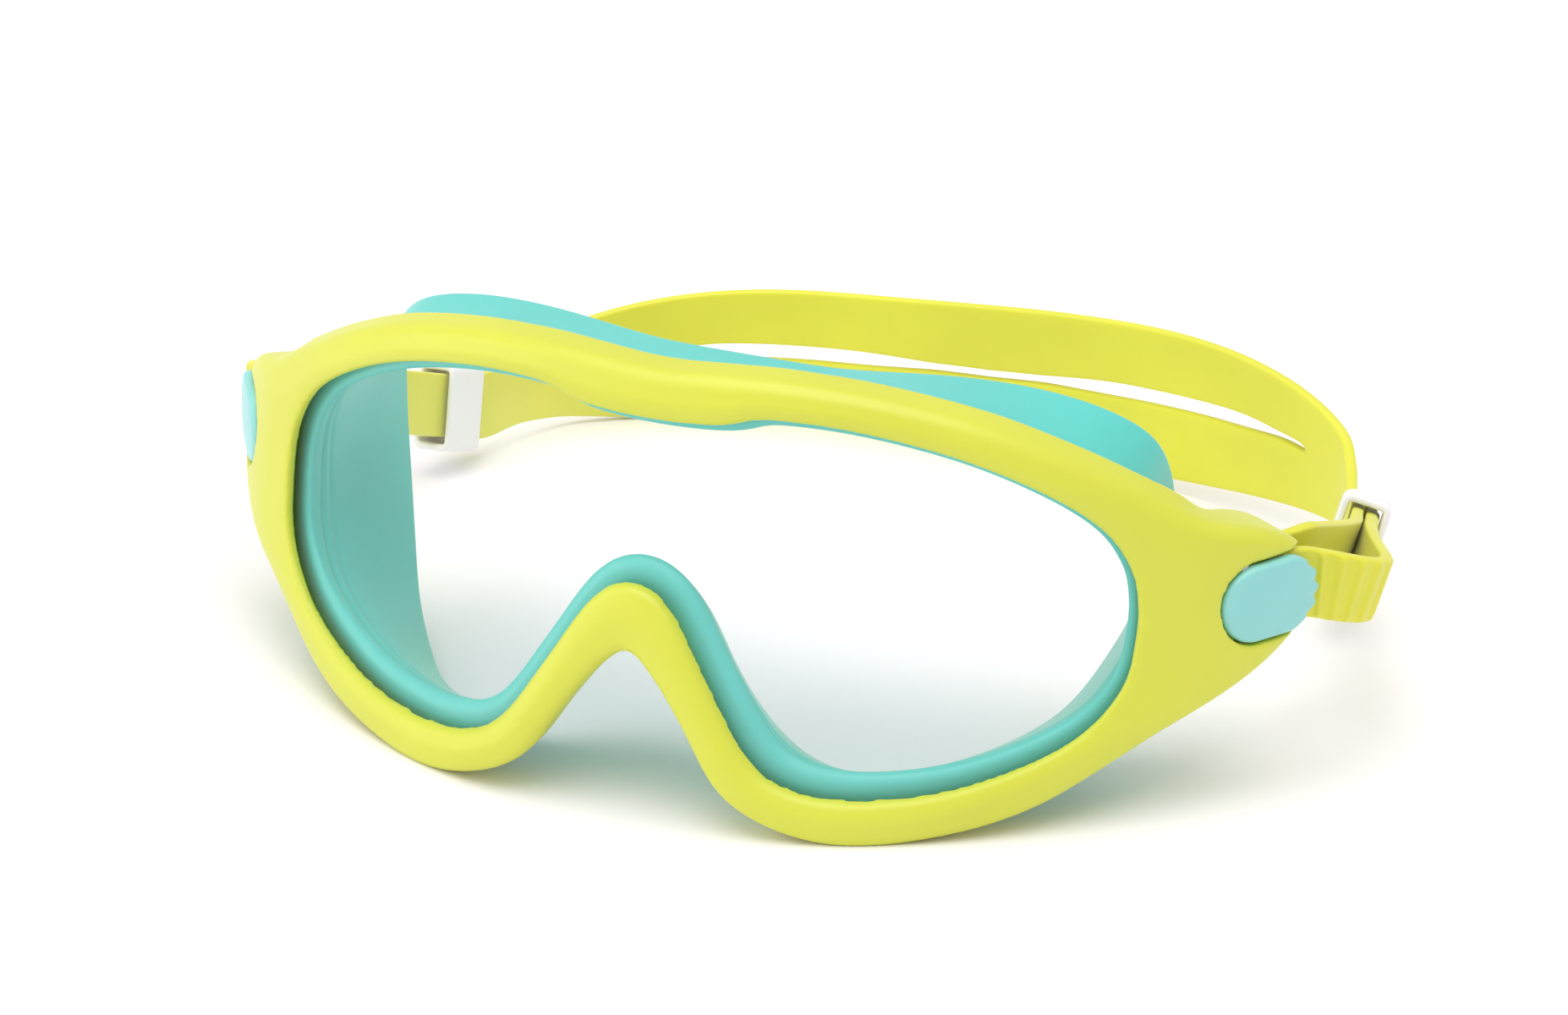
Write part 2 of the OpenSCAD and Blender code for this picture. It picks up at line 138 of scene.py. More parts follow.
def cubic(p, i, f):
    """Catmull-Rom curve between points i and i + 1."""
    a, b, c, d = p(i - 1), p(i), p(i + 1), p(i + 2)
    return 0.5 * (2 * b + (c - a) * f + (2 * a - 5 * b + 4 * c - d) * f**2 + (3 * b - a - 3 * c + d) * f**3)


def soften_ring(points, sigma):
    """Gaussian smoothing along a closed ring of points."""
    n = len(points)
    k = np.minimum(np.arange(n), n - np.arange(n))
    w = np.exp(-0.5 * (k / sigma) ** 2)
    w /= w.sum()
    return np.fft.ifft(np.fft.fft(points, axis=0) * np.fft.fft(w)[:, None], axis=0).real


def ring_points(half):
    pts = whole(half)
    n = len(pts)
    t = np.arange(n * PER_SEG) / PER_SEG
    i = np.floor(t).astype(int)
    return soften_ring(cubic(lambda j: pts[j % n], i, (t - i)[:, None]), FINE_SIGMA)


def open_path(points, t):
    pts = np.asarray(points, float)
    n = len(pts)
    ext = np.concatenate([[2 * pts[0] - pts[1]], pts, [2 * pts[-1] - pts[-2]], [2 * pts[-1] - pts[-2]]])
    i = np.minimum(np.floor(t).astype(int), n - 2)
    return cubic(lambda j: ext[j + 1], i, (t - i)[:, None])


WINDOW = ring_points(WINDOW_HALF)
OUTER = ring_points(FRAME_HALF)
LIP = ring_points(LIP_HALF)
STATIONS = len(WINDOW)
edge = unit(np.roll(WINDOW, -1, 0) - np.roll(WINDOW, 1, 0))
EDGE_DIR = np.stack([-edge[:, 1], edge[:, 0]], -1)
WIDTH = np.linalg.norm(OUTER - WINDOW, axis=1)
WIDTH_DIR = (OUTER - WINDOW) / WIDTH[:, None]


# ---------------------------------------------------------------- mesh helpers
def to_frame(points):
    """Millimetres in build axes to metres in the shared frame."""
    return (np.asarray(points, float) - [0, DEPTH_MID, 0]) * MM


def make(name, verts, faces, material, body=None):
    mesh = bpy.data.meshes.new(name)
    mesh.from_pydata(to_frame(verts).tolist(), [], [list(map(int, f)) for f in faces])
    mesh.update()
    bm = bmesh.new()
    bm.from_mesh(mesh)
    bmesh.ops.remove_doubles(bm, verts=bm.verts, dist=1e-7)
    bmesh.ops.recalc_face_normals(bm, faces=bm.faces)
    bm.to_mesh(mesh)
    bm.free()
    for p in mesh.polygons:
        p.use_smooth = True
    obj = bpy.data.objects.new(name, mesh)
    bpy.context.scene.collection.objects.link(obj)
    obj.data.materials.append(material)
    if body:
        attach(obj, body)
    return obj


def ring_faces(n, m, close_n=True):
    """Quads of n rows of m points; each row is closed, and the rows too if close_n."""
    faces = []
    for i in range(n if close_n else n - 1):
        for j in range(m):
            a, b = i * m + j, i * m + (j + 1) % m
            c, d = ((i + 1) % n) * m + (j + 1) % m, ((i + 1) % n) * m + j
            faces.append((a, b, c, d))
    return faces


def bake(obj):
    """Replaces the object's mesh with its evaluated one."""
    bpy.context.view_layer.update()
    graph = bpy.context.evaluated_depsgraph_get()
    mesh = bpy.data.meshes.new_from_object(obj.evaluated_get(graph))
    obj.modifiers.clear()
    old = obj.data
    obj.data = mesh
    mesh.name = old.name
    bpy.data.meshes.remove(old)
    for p in mesh.polygons:
        p.use_smooth = True


def mirrored(points):
    out = np.array(points, float)
    out[..., 0] *= -1
    return out


# ---------------------------------------------------------------- materials
def tinted(color, factor):
    return tuple(min(1.0, c * factor) for c in color[:3]) + (1.0,)


def moulded(name, color, rough, grain=2200, bump=0.05, vary=0.05, **sockets):
    """Moulded polymer: slow colour drift, fine grain in the bump and uneven gloss."""
    mat = bpy.data.materials.new(name)
    mat.use_nodes = True
    nt = mat.node_tree
    shader = nt.nodes["Principled BSDF"]
    coord = nt.nodes.new("ShaderNodeTexCoord")
    slow = nt.nodes.new("ShaderNodeTexNoise")
    slow.inputs["Scale"].default_value = 38
    slow.inputs["Detail"].default_value = 3
    fine = nt.nodes.new("ShaderNodeTexNoise")
    fine.inputs["Scale"].default_value = grain
    fine.inputs["Detail"].default_value = 2
    speck = nt.nodes.new("ShaderNodeTexVoronoi")
    speck.inputs["Scale"].default_value = grain * 0.45
    for n in (slow, fine, speck):
        nt.links.new(coord.outputs["Object"], n.inputs["Vector"])
    ramp = nt.nodes.new("ShaderNodeValToRGB")
    ramp.color_ramp.elements[0].position = 0.3
    ramp.color_ramp.elements[1].position = 0.72
    ramp.color_ramp.elements[0].color = tinted(color, 1 - vary)
    ramp.color_ramp.elements[1].color = tinted(color, 1 + vary)
    nt.links.new(slow.outputs["Fac"], ramp.inputs["Fac"])
    nt.links.new(ramp.outputs["Color"], shader.inputs["Base Color"])
    gloss = nt.nodes.new("ShaderNodeMapRange")
    gloss.inputs["To Min"].default_value = rough - 0.05
    gloss.inputs["To Max"].default_value = rough + 0.07
    nt.links.new(fine.outputs["Fac"], gloss.inputs["Value"])
    nt.links.new(gloss.outputs["Result"], shader.inputs["Roughness"])
    mix = nt.nodes.new("ShaderNodeMath")
    mix.operation = "MULTIPLY_ADD"
    mix.inputs[1].default_value = 0.35
    nt.links.new(speck.outputs["Distance"], mix.inputs[0])
    nt.links.new(fine.outputs["Fac"], mix.inputs[2])
    relief = nt.nodes.new("ShaderNodeBump")
    relief.inputs["Strength"].default_value = bump
    relief.inputs["Distance"].default_value = 0.00012
    nt.links.new(mix.outputs["Value"], relief.inputs["Height"])
    nt.links.new(relief.outputs["Normal"], shader.inputs["Normal"])
    for key, value in sockets.items():
        shader.inputs[key.replace("_", " ")].default_value = value
    return mat


LIME = (0.66, 0.69, 0.055)
LIME_STRAP = (0.72, 0.72, 0.04)
AQUA = (0.10, 0.60, 0.53)
lime_shell = moulded("lime_shell", LIME, 0.38, bump=0.05, vary=0.03, Coat_Weight=0.12, Coat_Roughness=0.3)
lime_strap = moulded("lime_strap", LIME_STRAP, 0.46, grain=1500, bump=0.08, vary=0.05, Sheen_Weight=0.15,
                     Subsurface_Weight=0.12, Subsurface_Scale=0.002)
aqua_skirt = moulded("aqua_skirt", AQUA, 0.36, grain=1300, bump=0.05, vary=0.04, Sheen_Weight=0.1,
                     Subsurface_Weight=0.2, Subsurface_Scale=0.002)
aqua_button = moulded("aqua_button", (0.27, 0.66, 0.62), 0.33, bump=0.04, vary=0.03, Coat_Weight=0.15,
                      Coat_Roughness=0.25)
retainer_mat = moulded("clear_retainer", (0.3, 0.66, 0.62), 0.3, bump=0.03)
white_keeper = moulded("white_keeper", (0.86, 0.86, 0.87), 0.4, bump=0.05, vary=0.02,
                       Subsurface_Weight=0.1, Subsurface_Scale=0.0015)
steel = moulded("pin_steel", (0.62, 0.63, 0.65), 0.28, grain=5200, bump=0.03, Metallic=1.0)
lens_mat = moulded("clear_lens", (0.96, 0.985, 1.0), 0.06, grain=900, bump=0.004, vary=0.01, Alpha=0.035)
lens_mat.surface_render_method = "BLENDED"


# ---------------------------------------------------------------- front frame
VOXEL = 0.42 * MM


def arc(a, b, n, inward):
    """Quarter of an ellipse from a to b, bulging away from the corner 'inward'."""
    a, b, c = np.array(a, float), np.array(b, float), np.array(inward, float)
    u = np.linspace(0, math.pi / 2, n)[:, None]
    return c + (a - c) * np.cos(u) + (b - c) * np.sin(u)


def rim_profile(w, b):
    """Section of the rim: s across from the window edge, d back from the face."""
    edge_r = min(2.4, 0.38 * w)
    inner_r = min(1.1, 0.18 * w)
    inner_drop = 1.5
    drop = min(2.3, 0.4 * b)
    front_in = arc((0, inner_drop), (inner_r, 0.0), 6, (inner_r, inner_drop))
    face_s = np.linspace(inner_r, w - edge_r, 9)[1:-1]
    crown = 0.35 * np.sin(math.pi * (face_s - inner_r) / (w - edge_r - inner_r))
    face = np.stack([face_s, -crown], -1)
    front_out = arc((w - edge_r, 0.0), (w, drop), 9, (w - edge_r, drop))
    back_r = 1.3
    back_out = arc((w, b - back_r), (w - back_r, b), 5, (w - back_r, b - back_r))
    lead = 0.5
    rest = np.array([(min(STEP_W + lead, w - back_r), b), (STEP_W, b - lead), (STEP_W, (b + FLANGE_T) / 2),
                     (STEP_W, FLANGE_T), (STEP_W / 2, FLANGE_T), (0, FLANGE_T)])
    mid = np.array([(w, drop + (b - back_r - drop) * 0.5)])
    return np.concatenate([front_in, face, front_out, mid, back_out, rest])


def build_frame():
    wide_from, wide_to = 9, 17
    depth = RIM_DEPTH + WING_EXTRA * smooth(wide_from, wide_to, WIDTH)
    rings = []
    for i in range(STATIONS):
        prof = rim_profile(WIDTH[i], depth[i])
        rings.append(on_face(WINDOW[i] + prof[:, :1] * WIDTH_DIR[i], prof[:, 1]))
    rings = np.array(rings)
    n, m = rings.shape[:2]
    obj = make("frame_shell", rings.reshape(-1, 3), ring_faces(n, m), lime_shell)
    cutters = [notch_cutter(side) for side, _ in SIDES]
    for cutter in cutters:
        mod = obj.modifiers.new("notch", "BOOLEAN")
        mod.operation = "DIFFERENCE"
        mod.solver = "EXACT"
        mod.object = cutter
    mod = obj.modifiers.new("skin", "REMESH")
    mod.mode = "VOXEL"
    mod.voxel_size = VOXEL
    mod = obj.modifiers.new("ease", "SMOOTH")
    mod.factor = 0.5
    mod.iterations = 7
    bake(obj)
    for cutter in cutters:
        bpy.data.objects.remove(cutter)
    for v in obj.data.vertices:
        v.co.z = max(v.co.z, 0.0)
    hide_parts("front_frame")
    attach(obj, "mask")


def temple_axes(side):
    """Middle of a button and its back, inward and up directions."""
    origin = np.array([BUTTON_X, face_y(BUTTON_X, BUTTON_Z), BUTTON_Z])
    back = np.array([math.cos(TILT), math.sin(TILT), 0])
    inward = np.array([-math.sin(TILT), math.cos(TILT), 0])
    up = np.array([0, 0, 1.0])
    flip = np.array([side, 1, 1])
    return origin * flip, back * flip, inward * flip, up


def at_temple(side, local):
    """Points (back, inward, up) of one temple, in build axes."""
    origin, back, inward, up = temple_axes(side)
    local = np.asarray(local, float)
    return origin + local[..., :1] * back + local[..., 1:2] * inward + local[..., 2:3] * up


def notch_cutter(side):
    """Slot with a round front end, open to the back, cut through a wing for its button."""
    r = BUTTON_H / 2 + 0.25
    cx = -BUTTON_LEN / 2 - 0.3 + r
    reach, outside, inside = 40.0, -14.0, 24.0
    a = np.linspace(math.pi / 2, 3 * math.pi / 2, 33)
    outline = np.concatenate([[(reach, r)], np.stack([cx + r * np.cos(a), r * np.sin(a)], -1), [(reach, -r)]])
    m = len(outline)
    rings = [[(p[0], y, p[1]) for p in outline] for y in (outside, inside)]
    verts = at_temple(side, np.array(rings).reshape(-1, 3))
    faces = [(j, (j + 1) % m, m + (j + 1) % m, m + j) for j in range(m)]
    faces += [tuple(range(m)), tuple(range(m, 2 * m))[::-1]]
    mesh = bpy.data.meshes.new("notch")
    mesh.from_pydata(to_frame(verts).tolist(), [], faces)
    bm = bmesh.new()
    bm.from_mesh(mesh)
    bmesh.ops.recalc_face_normals(bm, faces=bm.faces)
    bm.to_mesh(mesh)
    bm.free()
    obj = bpy.data.objects.new("notch", mesh)
    bpy.context.scene.collection.objects.link(obj)
    obj.hide_render = True
    return obj


# ---------------------------------------------------------------- lens, skirt, retainer
def off(s):
    """The window outline moved outward by s."""
    return WINDOW + s * EDGE_DIR


def ring_at(s, d):
    """The window outline moved outward by s and back from the face by d."""
    return on_face(off(s), np.full(STATIONS, d))


def build_lens():
    half = SIDE_INDEX * PER_SEG
    end_gap = 3
    cols = np.arange(-half + end_gap, half - end_gap + 1)
    rim = off(LENS_OVER)
    top = rim[cols % STATIONS]
    low = rim[(2 * half - cols) % STATIONS]
    rows = 24
    f = np.linspace(0, 1, rows + 1)[None, :, None]
    grid = top[:, None] * (1 - f) + low[:, None] * f
    front = on_face(grid, np.full(grid.shape[:2], LENS_D))
    back = on_face(grid, np.full(grid.shape[:2], LENS_D + LENS_T))
    section = np.concatenate([front, back[:, ::-1]], 1)
    n, m = section.shape[:2]
    faces = ring_faces(n, m, close_n=False)
    for e in (0, n - 1):
        for j in range(rows):
            faces.append((e * m + j, e * m + j + 1, e * m + m - 2 - j, e * m + m - 1 - j))
    obj = make("lens_sheet", section.reshape(-1, 3), faces, lens_mat, "mask")
    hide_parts("lens")


def build_skirt():
    start = ring_at(-1.05, SKIRT_D + FLANGE_SKIRT + 0.1)
    out = np.stack([EDGE_DIR[:, 0], np.zeros(STATIONS), EDGE_DIR[:, 1]], -1)
    length = np.linalg.norm(LIP - start, axis=1)
    detail_len = 4.0
    near = np.append(np.arange(13) * 0.3, detail_len)
    far = np.linspace(0, 1, 26)[1:] ** 0.9
    beyond = detail_len + (length[:, None] - detail_len) * far
    dist = np.concatenate([np.tile(near, (STATIONS, 1)), beyond], 1)
    v = dist / length[:, None]
    mid = start[:, None] + (LIP - start)[:, None] * v[..., None]
    mid = mid - out[:, None] * (SKIRT_BULGE * 4 * v * (1 - v))[..., None]
    thick = (SKIRT_T + (LIP_T - SKIRT_T) * v) / 2
    # bead, groove, fine bead, groove: (height, distance from the flange, half-width)
    relief = [(0.32, 0.3, 0.55), (-0.36, 1.3, 0.32), (0.12, 2.0, 0.4), (-0.24, 2.9, 0.3)]
    bead = sum(height * np.exp(-(((dist - at) / half) ** 2)) for height, at, half in relief)
    inner = mid - out[:, None] * (thick + bead)[..., None]
    outer = mid + out[:, None] * thick[..., None]
    tip_dir = unit(LIP - start)
    end = mid[:, -1]
    tips = []
    for a in np.linspace(0, math.pi, 9)[1:-1]:
        tips.append(end - out * (math.cos(a) * LIP_T / 2) + tip_dir * (math.sin(a) * LIP_T * 0.62))
    # flange and rolled edge: (outward from the window edge, back from the flange front)
    roll = [(3.0, FLANGE_SKIRT), (3.0, 0), (0.2, 0), (-0.7, -0.12), (-1.3, 0.06), (-1.8, 0.45), (-2.1, 0.95)]
    flange = [ring_at(s, SKIRT_D + d) for s, d in roll]
    section = np.concatenate([np.stack(flange, 1), inner, np.stack(tips, 1), outer[:, ::-1]], 1)
    n, m = section.shape[:2]
    obj = make("face_skirt", section.reshape(-1, 3), ring_faces(n, m), aqua_skirt)
    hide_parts("skirt")
    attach(obj, "mask")


def build_retainer():
    inside, outside, edge = 0.8, 3.1, 0.3
    d0, d1 = RETAINER_D, RETAINER_D + RETAINER_T
    prof = [(inside, d1 - edge), (inside, d0), (outside, d0), (outside, d1 - edge), (outside - edge, d1),
            (inside + edge, d1)]
    section = np.stack([ring_at(s, d) for s, d in prof], 1)
    n, m = section.shape[:2]
    faces = ring_faces(n, m)
    obj = make("retainer_ring", section.reshape(-1, 3), faces, retainer_mat, "mask")
    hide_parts("lens_retainer")


# ---------------------------------------------------------------- release buttons
def build_button(side, name):
    half_len, r = BUTTON_LEN / 2, BUTTON_H / 2
    reach = half_len - r
    count = 96
    a = np.linspace(0, 2 * math.pi, count, endpoint=False)
    ox = np.where(np.cos(a) >= 0, reach, -reach) + r * np.cos(a)
    oz = r * np.sin(a)
    scallop, pitch = 0.24, 2.3
    wave = scallop * np.cos(oz * 2 * math.pi / pitch) * smooth(4.9, 3.6, np.abs(oz)) - scallop
    ox = ox + smooth(3.0, 6.0, ox) * wave
    dome_r, dome_h, edge_from, edge_fall = 40.0, 0.9, 0.86, 0.75
    under, back = 1.2, 1.65
    rho = [0.0, 0.2, 0.4, 0.58, 0.72, 0.83, 0.9, 0.95, 0.98, 1.0]
    rings = []
    for q in rho:
        x, z = ox * q, oz * q
        dome = (dome_r - dome_h) - np.sqrt(dome_r**2 - x**2 - z**2)
        over = np.clip((q - edge_from) / (1 - edge_from), 0, 1)
        fall = edge_fall * (1 - np.sqrt(np.clip(1 - over**2, 0, 1)))
        groove = 0.14 * np.cos(z * 2 * math.pi / pitch) * smooth(5.0, 7.0, x)
        rings.append(np.stack([x, dome + fall - groove, z], -1))
    for q, depth in ((1.0, under), (0.96, back), (0.5, back)):
        rings.append(np.stack([ox * q, np.full(count, depth), oz * q], -1))
    local = np.array(rings[1:]).reshape(-1, 3)
    faces = ring_faces(len(rings) - 1, count, close_n=False)
    top = len(local)
    local = np.concatenate([local, [rings[0][0]], [(0, back, 0)]])
    last = (len(rings) - 2) * count
    for j in range(count):
        faces.append((top, (j + 1) % count, j))
        faces.append((top + 1, last + j, last + (j + 1) % count))
    lug = []
    seg, bore_r, lug_r, lug_half, edge = 40, PIN_R + 0.06, 1.9, 4.0, 0.3
    b = np.linspace(0, 2 * math.pi, seg, endpoint=False)
    for rad, z in ((bore_r, -lug_half), (lug_r - edge, -lug_half), (lug_r, -lug_half + edge),
                   (lug_r, lug_half - edge), (lug_r - edge, lug_half), (bore_r, lug_half)):
        lug.append(np.stack([PIN_AT[0] + rad * np.cos(b), PIN_AT[1] + rad * np.sin(b), np.full(seg, z)], -1))
    base = len(local)
    local = np.concatenate([local, np.array(lug).reshape(-1, 3)])
    faces += [tuple(base + k for k in f) for f in ring_faces(6, seg)]
    world = at_temple(side, local)
    obj = make("button_cap_" + name, world, faces, aqua_button, "button_" + name)
    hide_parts("release_button_" + name)


# ---------------------------------------------------------------- strap
def on_line(y, s=0.0):
    """Point of the straight run beside the head, moved outward by s."""
    normal = np.array([LINE_DIR[1], -LINE_DIR[0]])
    return LINE_FROM + LINE_DIR * ((y - LINE_FROM[1]) / LINE_DIR[1]) + s * normal


def plan(local):
    """Point (back, inward) of the left temple in plan."""
    p = at_temple(1, [local[0], local[1], 0])
    return np.array([p[0], p[1]])


def eased(v):
    """max(0, v) with a rounded knee."""
    v = np.asarray(v, float)
    return np.where(v < -LOOP_EASE, 0, np.where(v > LOOP_EASE, v, (v + LOOP_EASE) ** 2 / (4 * LOOP_EASE)))


def loop_height(y):
    """Height of the strap's outer layer along a temple."""
    y = np.asarray(y, float)
    near, middle, rear = (eased(y - knot) for knot in LOOP_KNOTS)
    return LOOP_Z0 + NEAR_SLOPE * near + (LOOP_SLOPE - NEAR_SLOPE) * middle - LOOP_SLOPE * rear


def rolled(x):
    """Height gained on the wearer's left and lost on the right."""
    x = np.asarray(x, float) / ROLL_REF
    return STRAP_ROLL * x / np.sqrt(1 + x**2)


def inner_height(y):
    """Height of the strap's inner layer along a temple."""
    slope = (NEAR_SLOPE * (LOOP_KNOTS[1] - LOOP_KNOTS[0]) + LOOP_SLOPE * (INNER_JOIN - LOOP_KNOTS[1]))
    slope /= INNER_JOIN - INNER_KNOT
    y = np.asarray(y, float)
    return (LOOP_Z0 + slope * (eased(y - INNER_KNOT) - eased(y - INNER_JOIN))
            + LOOP_SLOPE * (eased(y - INNER_JOIN) - eased(y - LOOP_KNOTS[2])))


def lying(x, y, inner):
    """Height of the strap; inner is 1 on the inner layer and 0 on the outer."""
    late = np.where(np.asarray(x) > 0, 0, ROLL_LATE)
    height = loop_height(y) * (1 - inner) + inner_height(y) * inner
    return height + rolled(x) * smooth(ROLL_FROM, ROLL_TO, np.asarray(y) - late)


def lean(x, y):
    """Outward lean of the temple loops, in radians."""
    left = LEAN_LEFT * smooth(LEAN_IN[0], LEAN_IN[1], y)
    right = LEAN_RIGHT * smooth(LEAN_IN[1], INNER_JOIN, y)
    return np.radians(np.where(np.asarray(x) > 0, left, right) * (1 - smooth(LEAN_OUT[0], LEAN_OUT[1], y)))


def side_path():
    """Plan of one temple loop, from the end of the tail round the post to the head band."""
    inner = [on_line(LOOP_END_Y), on_line(90), on_line(84), on_line(78), (73.3, 69), (73.6, 60), (73.2, 52)]
    wrap_r = POST_R + 0.2 + STRAP_T / 2
    wrap = [plan((POST_AT[0] + wrap_r * math.cos(a), POST_AT[1] + wrap_r * math.sin(a)))
            for a in np.radians(100 + 165 * np.arange(11) / 10)]
    outer = [plan((7.8, 3.1)), (80.4, 51.2), (82.4, 55.4), (82, 59.8), (79.4, 65.4), (76.5, 71.4),
             on_line(78, LAYER_STEP), on_line(84, LAYER_STEP), on_line(90, LAYER_STEP),
             on_line(LOOP_END_Y, LAYER_STEP)]
    return np.array([np.asarray(p, float) for p in inner + wrap + outer])[::-1]


def strap_grid():
    """Points of both faces of the strap, where the slit is open, and the row the slit follows."""
    side = side_path()
    band_half = np.array([on_line(HINGE_Y), on_line(105.5, -0.3), (59.5, 111.3), (51, 117.6), (39, 122.6),
                          (25, 125.6), (12, 126.8), (0, 127.1)])
    path = np.concatenate([side, band_half, mirrored(band_half[-2::-1]), mirrored(side[::-1])])
    n_side, last = len(side), len(path) - 1
    dense = np.linspace(0, last, 6000)
    pts = open_path(path, dense)
    arc_len = np.concatenate([[0], np.cumsum(np.linalg.norm(np.diff(pts, axis=0), axis=1))])
    total = arc_len[-1]
    # places along side_path(): end of the ribbed tail, and where the layers pass over each other
    tail_end, cross_from, cross_to = 9.0, 7, 17
    tail = arc_len[np.searchsorted(dense, tail_end)]
    rib_step, loop_step, band_step, loop_len = 0.36, 0.7, 1.5, 60
    stations = [0.0]
    while stations[-1] < total / 2:
        s = stations[-1]
        stations.append(s + (rib_step if s < tail + 1 else loop_step if s < tail + loop_len else band_step))
    half = np.array(stations[:-1])
    s_all = np.concatenate([half, [total / 2], (total - half)[::-1]])
    t = np.interp(s_all, arc_len, dense)
    p = np.stack([np.interp(s_all, arc_len, pts[:, k]) for k in (0, 1)], -1)
    look = 0.25
    ahead = np.stack([np.interp(s_all + look, arc_len, pts[:, k]) for k in (0, 1)], -1)
    behind = np.stack([np.interp(s_all - look, arc_len, pts[:, k]) for k in (0, 1)], -1)
    d = unit(ahead - behind)
    normal = np.stack([-d[:, 1], d[:, 0]], -1)
    u = np.minimum(t, last - t) - n_side
    h = np.where(u < 0, STRAP_H, STRAP_H + (REAR_H - STRAP_H) * smooth(0, 5, u))
    band_z = loop_height(HINGE_Y)
    mid = band_z + (REAR_H / 2 - band_z) * smooth(0, 4, u) + rolled(p[:, 0])
    t_side = n_side - 1 - np.minimum(t, last - t)
    inner = 1 - smooth(cross_from, cross_to, t_side)
    tilt = np.where(u < 0, lean(p[:, 0], p[:, 1]), 0)
    paired = np.where(u < 0, smooth(LOOP_END_Y + 4, LOOP_END_Y, p[:, 1]), 0)
    apart = (2 * inner - 1) * paired * LAYER_STEP / 2 * np.sin(tilt)
    z = np.where(u < 0, lying(p[:, 0], p[:, 1], inner), mid) + apart
    low, high = np.maximum(z - h / 2, 0.05), z + h / 2
    turn = np.sign(p[:, 0]) * np.sin(tilt)
    slit_from, slit_rise, slit_narrowing = 2.7, 0.8, 0.75
    slit = 0.5 * SLIT_GAP * smooth(slit_from, 4, u) * (1 - slit_narrowing * smooth(5.2, 7, u))
    slit_mid = (low + high) / 2 + slit_rise * smooth(2.0, 3.2, u)
    open_here = u > slit_from + 0.02
    first, edge_round = 0.05, 0.38
    upper = np.array([first, 0.12, 0.28, 0.5, 0.75, 0.9, 0.97, 1])
    rows = np.concatenate([-upper[::-1], upper])
    mid_row = len(rows) // 2
    s_tail = np.minimum(s_all, total - s_all)
    wave = np.sin(2 * math.pi * s_tail / RIB_PITCH)
    rib = RIB_H * smooth(0.15, 0.75, wave) * smooth(tail, tail - 2, s_tail)
    rib *= smooth(0.5, 2.5, s_tail)
    n, m = len(s_all), len(rows)
    grid = np.zeros((2, n, m, 3))
    for j, v in enumerate(rows):
        lift = (abs(v) - first) / (1 - first)
        near = slit_mid + np.sign(v) * np.maximum(slit, 0.5 * first * h)
        zj = near + lift * ((high if v > 0 else low) - near)
        half_t = STRAP_T / 2 - (edge_round if abs(v) == 1 else 0)
        ribbed = rib if abs(v) <= 0.9 else 0 * rib
        for k, outward in enumerate((half_t + ribbed, np.full(n, -half_t))):
            flat = p + normal * outward[:, None]
            across = flat[:, 0] - p[:, 0]
            grid[k, :, j, 0] = p[:, 0] + across * np.cos(tilt) + (zj - z) * turn
            grid[k, :, j, 1] = flat[:, 1]
            grid[k, :, j, 2] = z + (zj - z) * np.cos(tilt) - across * turn
    return grid, open_here, mid_row


def build_strap():
    grid, open_here, mid_row = strap_grid()
    _, n, m, _ = grid.shape
    verts = grid.reshape(-1, 3)

    def vid(k, i, j):
        return (k * n + i) * m + j

    cells = [(i, j) for i in range(n - 1) for j in range(m - 1)
             if not (j == mid_row - 1 and open_here[i] and open_here[i + 1])]
    kept = set(cells)
    faces = []
    # each edge of a cell: its two corners and the cell on its other side
    sides = (((0, 0), (1, 0), (0, -1)), ((1, 0), (1, 1), (1, 0)),
             ((1, 1), (0, 1), (0, 1)), ((0, 1), (0, 0), (-1, 0)))
    for i, j in cells:
        for k in (0, 1):
            faces.append((vid(k, i, j), vid(k, i + 1, j), vid(k, i + 1, j + 1), vid(k, i, j + 1)))
        for a, b, step in sides:
            if (i + step[0], j + step[1]) not in kept:
                faces.append((vid(0, i + a[0], j + a[1]), vid(0, i + b[0], j + b[1]),
                              vid(1, i + b[0], j + b[1]), vid(1, i + a[0], j + a[1])))
    used = sorted({k for f in faces for k in f})
    index = {k: q for q, k in enumerate(used)}
    faces = [tuple(index[k] for k in f) for f in faces]
    obj = make("strap_one_piece", verts[used], faces, lime_strap)
    mod = obj.modifiers.new("round", "SUBSURF")
    mod.levels = mod.render_levels = 1
    bake(obj)
    obj.data.validate()
    for v in obj.data.vertices:
        v.co.z = max(v.co.z, 0.0)
    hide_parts("strap_band", "strap_loop_left", "strap_loop_right")
    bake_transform(obj)


# ---------------------------------------------------------------- keepers
def rounded_rect(w, h, r, n=14):
    pts = []
    for cx, cy, a0 in ((1, 1, 0), (-1, 1, 90), (-1, -1, 180), (1, -1, 270)):
        for a in np.radians(a0 + 90 * np.arange(n + 1) / n):
            pts.append((cx * (w / 2 - r) + r * math.cos(a), cy * (h / 2 - r) + r * math.sin(a)))
    return np.array(pts)


